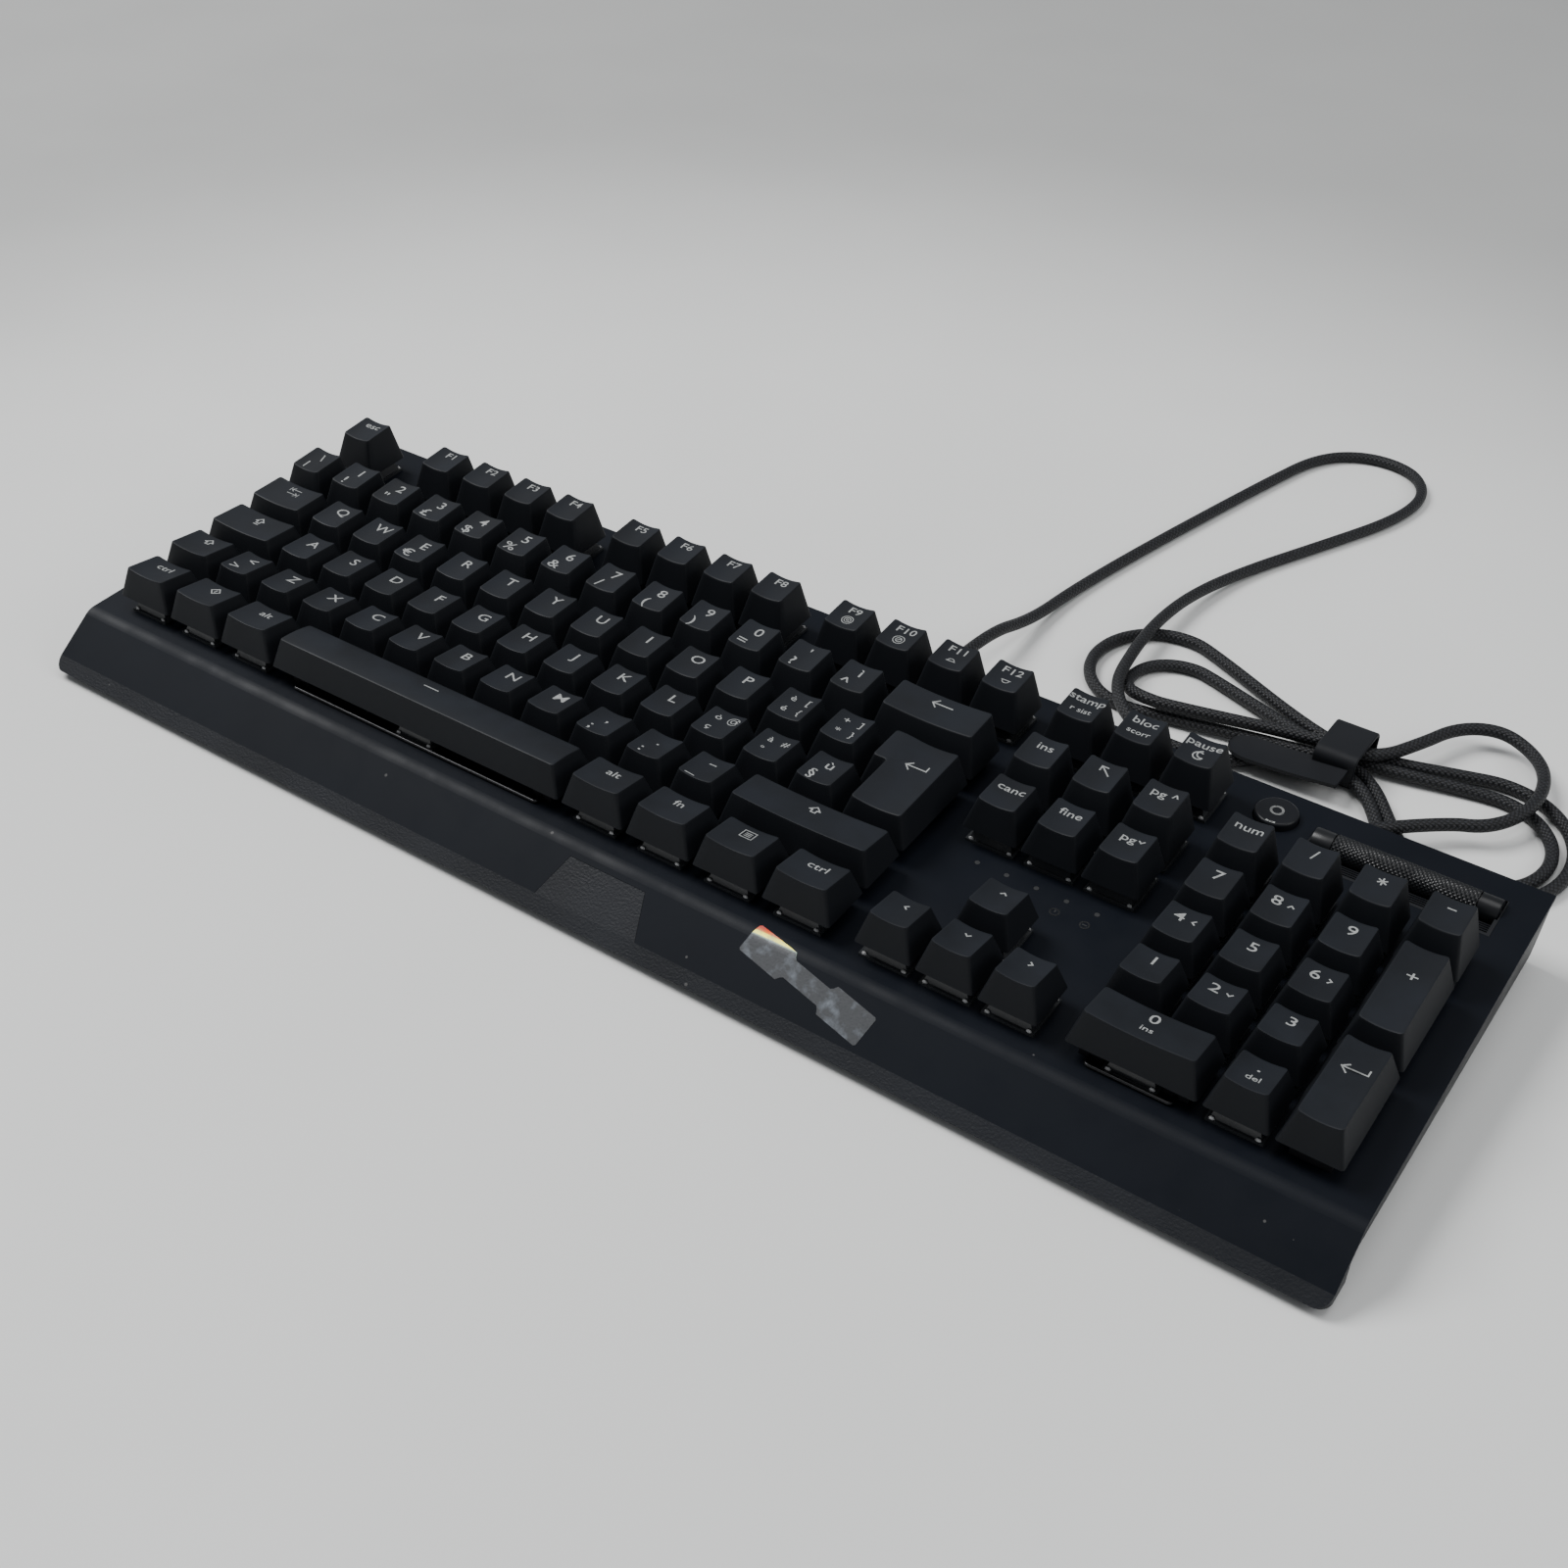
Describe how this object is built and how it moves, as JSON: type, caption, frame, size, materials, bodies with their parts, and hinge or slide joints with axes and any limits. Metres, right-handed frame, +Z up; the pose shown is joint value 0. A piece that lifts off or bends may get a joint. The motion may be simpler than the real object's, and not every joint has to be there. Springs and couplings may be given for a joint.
{
  "type": "computer keyboard",
  "caption": "Full-size mechanical keyboard with numeric keypad, media button, volume roller, tilt feet and a tied braided cable.",
  "frame": {"origin": "middle of the keyboard's footprint, on the surface it stands on; the free cable is left out of the footprint", "axes": "+X along the keyboard to the numeric keypad side, +Y from the front lip to the back, +Z up from the table"},
  "size_m": [0.4506, 0.4219, 0.0435],
  "materials": {
    "keycap_plastic": "fine satin moulded, slightly worn tops, shine-through legends",
    "anodised_plate": "black anodised aluminium, satin",
    "textured_plastic": "fine pebble texture",
    "case_plastic": "fine moulded texture",
    "roller_plastic": "knurled, semi-gloss ends",
    "switch_plastic": "moulded",
    "switch_clear": "translucent, milky",
    "board": "solder-masked fibreglass",
    "steel": "plain",
    "brass": "turned",
    "rubber": "matt",
    "lens": "dark translucent",
    "braid": "tight nylon braid",
    "plug_plastic": "moulded"
  },
  "bodies": {
    "case": {"bottom_case": "case_plastic", "cable_gland": "rubber", "cable_hank": "braid", "cable_run": "braid", "cable_tie": "rubber", "case_screws": "steel", "circuit_board": "board", "foot_pins": "steel", "front_trim": "textured_plastic", "indicator_lenses": "lens", "plate_standoffs": "brass", "roller_cradle": "case_plastic", "rubber_pads": "rubber", "stabiliser_housings": "switch_plastic", "stabiliser_wires": "steel", "switch_bases": "switch_plastic", "switch_tops": "switch_clear", "top_plate": "anodised_plate", "usb_plug": "plug_plastic", "usb_shell": "steel"},
    "arrow_down_key": {"arrow_down_key": "keycap_plastic"},
    "arrow_left_key": {"arrow_left_key": "keycap_plastic"},
    "arrow_right_key": {"arrow_right_key": "keycap_plastic"},
    "arrow_up_key": {"arrow_up_key": "keycap_plastic"},
    "backspace_key": {"backspace_key": "keycap_plastic"},
    "enter_key": {"enter_key": "keycap_plastic", "enter_key_stems": "switch_plastic"},
    "esc_key": {"esc_key": "keycap_plastic"},
    "function_keys": {"function_keys": "keycap_plastic"},
    "home_letter_keys": {"home_letter_keys": "keycap_plastic"},
    "keypad_0": {"keypad_0": "keycap_plastic"},
    "keypad_1": {"keypad_1": "keycap_plastic"},
    "keypad_2": {"keypad_2": "keycap_plastic"},
    "keypad_3": {"keypad_3": "keycap_plastic"},
    "keypad_4": {"keypad_4": "keycap_plastic"},
    "keypad_5": {"keypad_5": "keycap_plastic"},
    "keypad_6": {"keypad_6": "keycap_plastic"},
    "keypad_7": {"keypad_7": "keycap_plastic"},
    "keypad_8": {"keypad_8": "keycap_plastic"},
    "keypad_9": {"keypad_9": "keycap_plastic"},
    "keypad_divide": {"keypad_divide": "keycap_plastic"},
    "keypad_dot": {"keypad_dot": "keycap_plastic"},
    "keypad_enter": {"keypad_enter": "keycap_plastic"},
    "keypad_minus": {"keypad_minus": "keycap_plastic"},
    "keypad_multiply": {"keypad_multiply": "keycap_plastic"},
    "keypad_num_lock": {"keypad_num_lock": "keycap_plastic"},
    "keypad_plus": {"keypad_plus": "keycap_plastic"},
    "left_shift_key": {"left_shift_key": "keycap_plastic"},
    "lower_letter_keys": {"lower_letter_keys": "keycap_plastic"},
    "modifier_keys": {"modifier_keys": "keycap_plastic"},
    "navigation_keys": {"navigation_keys": "keycap_plastic"},
    "number_row_keys": {"number_row_keys": "keycap_plastic"},
    "right_shift_key": {"right_shift_key": "keycap_plastic"},
    "space_bar": {"space_bar": "keycap_plastic"},
    "system_keys": {"system_keys": "keycap_plastic"},
    "upper_letter_keys": {"upper_letter_keys": "keycap_plastic"},
    "media_button": {"media_button": "keycap_plastic"},
    "volume_roller": {"volume_roller": "roller_plastic"},
    "left_foot": {"left_foot": "case_plastic"},
    "right_foot": {"right_foot": "case_plastic"}
  },
  "joints": [
    {"name": "arrow_down_key_press", "type": "slide", "parent": "case", "child": "arrow_down_key", "axis": [0, 0.0593, -0.9982], "range_m": [0, 0.004], "stiffness_N_per_m": 90, "springref_m": -0.003},
    {"name": "arrow_left_key_press", "type": "slide", "parent": "case", "child": "arrow_left_key", "axis": [0, 0.0593, -0.9982], "range_m": [0, 0.004], "stiffness_N_per_m": 90, "springref_m": -0.003},
    {"name": "arrow_right_key_press", "type": "slide", "parent": "case", "child": "arrow_right_key", "axis": [0, 0.0593, -0.9982], "range_m": [0, 0.004], "stiffness_N_per_m": 90, "springref_m": -0.003},
    {"name": "arrow_up_key_press", "type": "slide", "parent": "case", "child": "arrow_up_key", "axis": [0, 0.0593, -0.9982], "range_m": [0, 0.004], "stiffness_N_per_m": 90, "springref_m": -0.003},
    {"name": "backspace_key_press", "type": "slide", "parent": "case", "child": "backspace_key", "axis": [0, 0.0593, -0.9982], "range_m": [0, 0.004], "stiffness_N_per_m": 90, "springref_m": -0.003},
    {"name": "enter_key_press", "type": "slide", "parent": "case", "child": "enter_key", "axis": [0, 0.0593, -0.9982], "range_m": [0, 0.004], "stiffness_N_per_m": 90, "springref_m": -0.003},
    {"name": "esc_key_press", "type": "slide", "parent": "case", "child": "esc_key", "axis": [0, 0.0593, -0.9982], "range_m": [0, 0.004], "stiffness_N_per_m": 90, "springref_m": -0.003},
    {"name": "function_keys_press", "type": "slide", "parent": "case", "child": "function_keys", "axis": [0, 0.0593, -0.9982], "range_m": [0, 0.004], "stiffness_N_per_m": 1080, "springref_m": -0.003},
    {"name": "home_letter_keys_press", "type": "slide", "parent": "case", "child": "home_letter_keys", "axis": [0, 0.0593, -0.9982], "range_m": [0, 0.004], "stiffness_N_per_m": 1170, "springref_m": -0.003},
    {"name": "keypad_0_press", "type": "slide", "parent": "case", "child": "keypad_0", "axis": [0, 0.0593, -0.9982], "range_m": [0, 0.004], "stiffness_N_per_m": 90, "springref_m": -0.003},
    {"name": "keypad_1_press", "type": "slide", "parent": "case", "child": "keypad_1", "axis": [0, 0.0593, -0.9982], "range_m": [0, 0.004], "stiffness_N_per_m": 90, "springref_m": -0.003},
    {"name": "keypad_2_press", "type": "slide", "parent": "case", "child": "keypad_2", "axis": [0, 0.0593, -0.9982], "range_m": [0, 0.004], "stiffness_N_per_m": 90, "springref_m": -0.003},
    {"name": "keypad_3_press", "type": "slide", "parent": "case", "child": "keypad_3", "axis": [0, 0.0593, -0.9982], "range_m": [0, 0.004], "stiffness_N_per_m": 90, "springref_m": -0.003},
    {"name": "keypad_4_press", "type": "slide", "parent": "case", "child": "keypad_4", "axis": [0, 0.0593, -0.9982], "range_m": [0, 0.004], "stiffness_N_per_m": 90, "springref_m": -0.003},
    {"name": "keypad_5_press", "type": "slide", "parent": "case", "child": "keypad_5", "axis": [0, 0.0593, -0.9982], "range_m": [0, 0.004], "stiffness_N_per_m": 90, "springref_m": -0.003},
    {"name": "keypad_6_press", "type": "slide", "parent": "case", "child": "keypad_6", "axis": [0, 0.0593, -0.9982], "range_m": [0, 0.004], "stiffness_N_per_m": 90, "springref_m": -0.003},
    {"name": "keypad_7_press", "type": "slide", "parent": "case", "child": "keypad_7", "axis": [0, 0.0593, -0.9982], "range_m": [0, 0.004], "stiffness_N_per_m": 90, "springref_m": -0.003},
    {"name": "keypad_8_press", "type": "slide", "parent": "case", "child": "keypad_8", "axis": [0, 0.0593, -0.9982], "range_m": [0, 0.004], "stiffness_N_per_m": 90, "springref_m": -0.003},
    {"name": "keypad_9_press", "type": "slide", "parent": "case", "child": "keypad_9", "axis": [0, 0.0593, -0.9982], "range_m": [0, 0.004], "stiffness_N_per_m": 90, "springref_m": -0.003},
    {"name": "keypad_divide_press", "type": "slide", "parent": "case", "child": "keypad_divide", "axis": [0, 0.0593, -0.9982], "range_m": [0, 0.004], "stiffness_N_per_m": 90, "springref_m": -0.003},
    {"name": "keypad_dot_press", "type": "slide", "parent": "case", "child": "keypad_dot", "axis": [0, 0.0593, -0.9982], "range_m": [0, 0.004], "stiffness_N_per_m": 90, "springref_m": -0.003},
    {"name": "keypad_enter_press", "type": "slide", "parent": "case", "child": "keypad_enter", "axis": [0, 0.0593, -0.9982], "range_m": [0, 0.004], "stiffness_N_per_m": 90, "springref_m": -0.003},
    {"name": "keypad_minus_press", "type": "slide", "parent": "case", "child": "keypad_minus", "axis": [0, 0.0593, -0.9982], "range_m": [0, 0.004], "stiffness_N_per_m": 90, "springref_m": -0.003},
    {"name": "keypad_multiply_press", "type": "slide", "parent": "case", "child": "keypad_multiply", "axis": [0, 0.0593, -0.9982], "range_m": [0, 0.004], "stiffness_N_per_m": 90, "springref_m": -0.003},
    {"name": "keypad_num_lock_press", "type": "slide", "parent": "case", "child": "keypad_num_lock", "axis": [0, 0.0593, -0.9982], "range_m": [0, 0.004], "stiffness_N_per_m": 90, "springref_m": -0.003},
    {"name": "keypad_plus_press", "type": "slide", "parent": "case", "child": "keypad_plus", "axis": [0, 0.0593, -0.9982], "range_m": [0, 0.004], "stiffness_N_per_m": 90, "springref_m": -0.003},
    {"name": "left_shift_key_press", "type": "slide", "parent": "case", "child": "left_shift_key", "axis": [0, 0.0593, -0.9982], "range_m": [0, 0.004], "stiffness_N_per_m": 90, "springref_m": -0.003},
    {"name": "lower_letter_keys_press", "type": "slide", "parent": "case", "child": "lower_letter_keys", "axis": [0, 0.0593, -0.9982], "range_m": [0, 0.004], "stiffness_N_per_m": 990, "springref_m": -0.003},
    {"name": "modifier_keys_press", "type": "slide", "parent": "case", "child": "modifier_keys", "axis": [0, 0.0593, -0.9982], "range_m": [0, 0.004], "stiffness_N_per_m": 630, "springref_m": -0.003},
    {"name": "navigation_keys_press", "type": "slide", "parent": "case", "child": "navigation_keys", "axis": [0, 0.0593, -0.9982], "range_m": [0, 0.004], "stiffness_N_per_m": 540, "springref_m": -0.003},
    {"name": "number_row_keys_press", "type": "slide", "parent": "case", "child": "number_row_keys", "axis": [0, 0.0593, -0.9982], "range_m": [0, 0.004], "stiffness_N_per_m": 1170, "springref_m": -0.003},
    {"name": "right_shift_key_press", "type": "slide", "parent": "case", "child": "right_shift_key", "axis": [0, 0.0593, -0.9982], "range_m": [0, 0.004], "stiffness_N_per_m": 90, "springref_m": -0.003},
    {"name": "space_bar_press", "type": "slide", "parent": "case", "child": "space_bar", "axis": [0, 0.0593, -0.9982], "range_m": [0, 0.004], "stiffness_N_per_m": 90, "springref_m": -0.003},
    {"name": "system_keys_press", "type": "slide", "parent": "case", "child": "system_keys", "axis": [0, 0.0593, -0.9982], "range_m": [0, 0.004], "stiffness_N_per_m": 270, "springref_m": -0.003},
    {"name": "upper_letter_keys_press", "type": "slide", "parent": "case", "child": "upper_letter_keys", "axis": [0, 0.0593, -0.9982], "range_m": [0, 0.004], "stiffness_N_per_m": 1170, "springref_m": -0.003},
    {"name": "media_button_press", "type": "slide", "parent": "case", "child": "media_button", "axis": [0, 0.0593, -0.9982], "range_m": [0, 0.001], "stiffness_N_per_m": 400, "springref_m": -0.001},
    {"name": "volume_roller_turn", "type": "hinge", "parent": "case", "child": "volume_roller", "pos_m": [0.1873, 0.06346, 0.0234], "axis": [1, 0, 0], "continuous": true},
    {"name": "left_foot_fold", "type": "hinge", "parent": "case", "child": "left_foot", "pos_m": [-0.165, 0.066, 0.0054], "axis": [1, 0, 0], "range_deg": [0, 85]},
    {"name": "right_foot_fold", "type": "hinge", "parent": "case", "child": "right_foot", "pos_m": [0.165, 0.066, 0.0054], "axis": [1, 0, 0], "range_deg": [0, 85]}
  ]
}
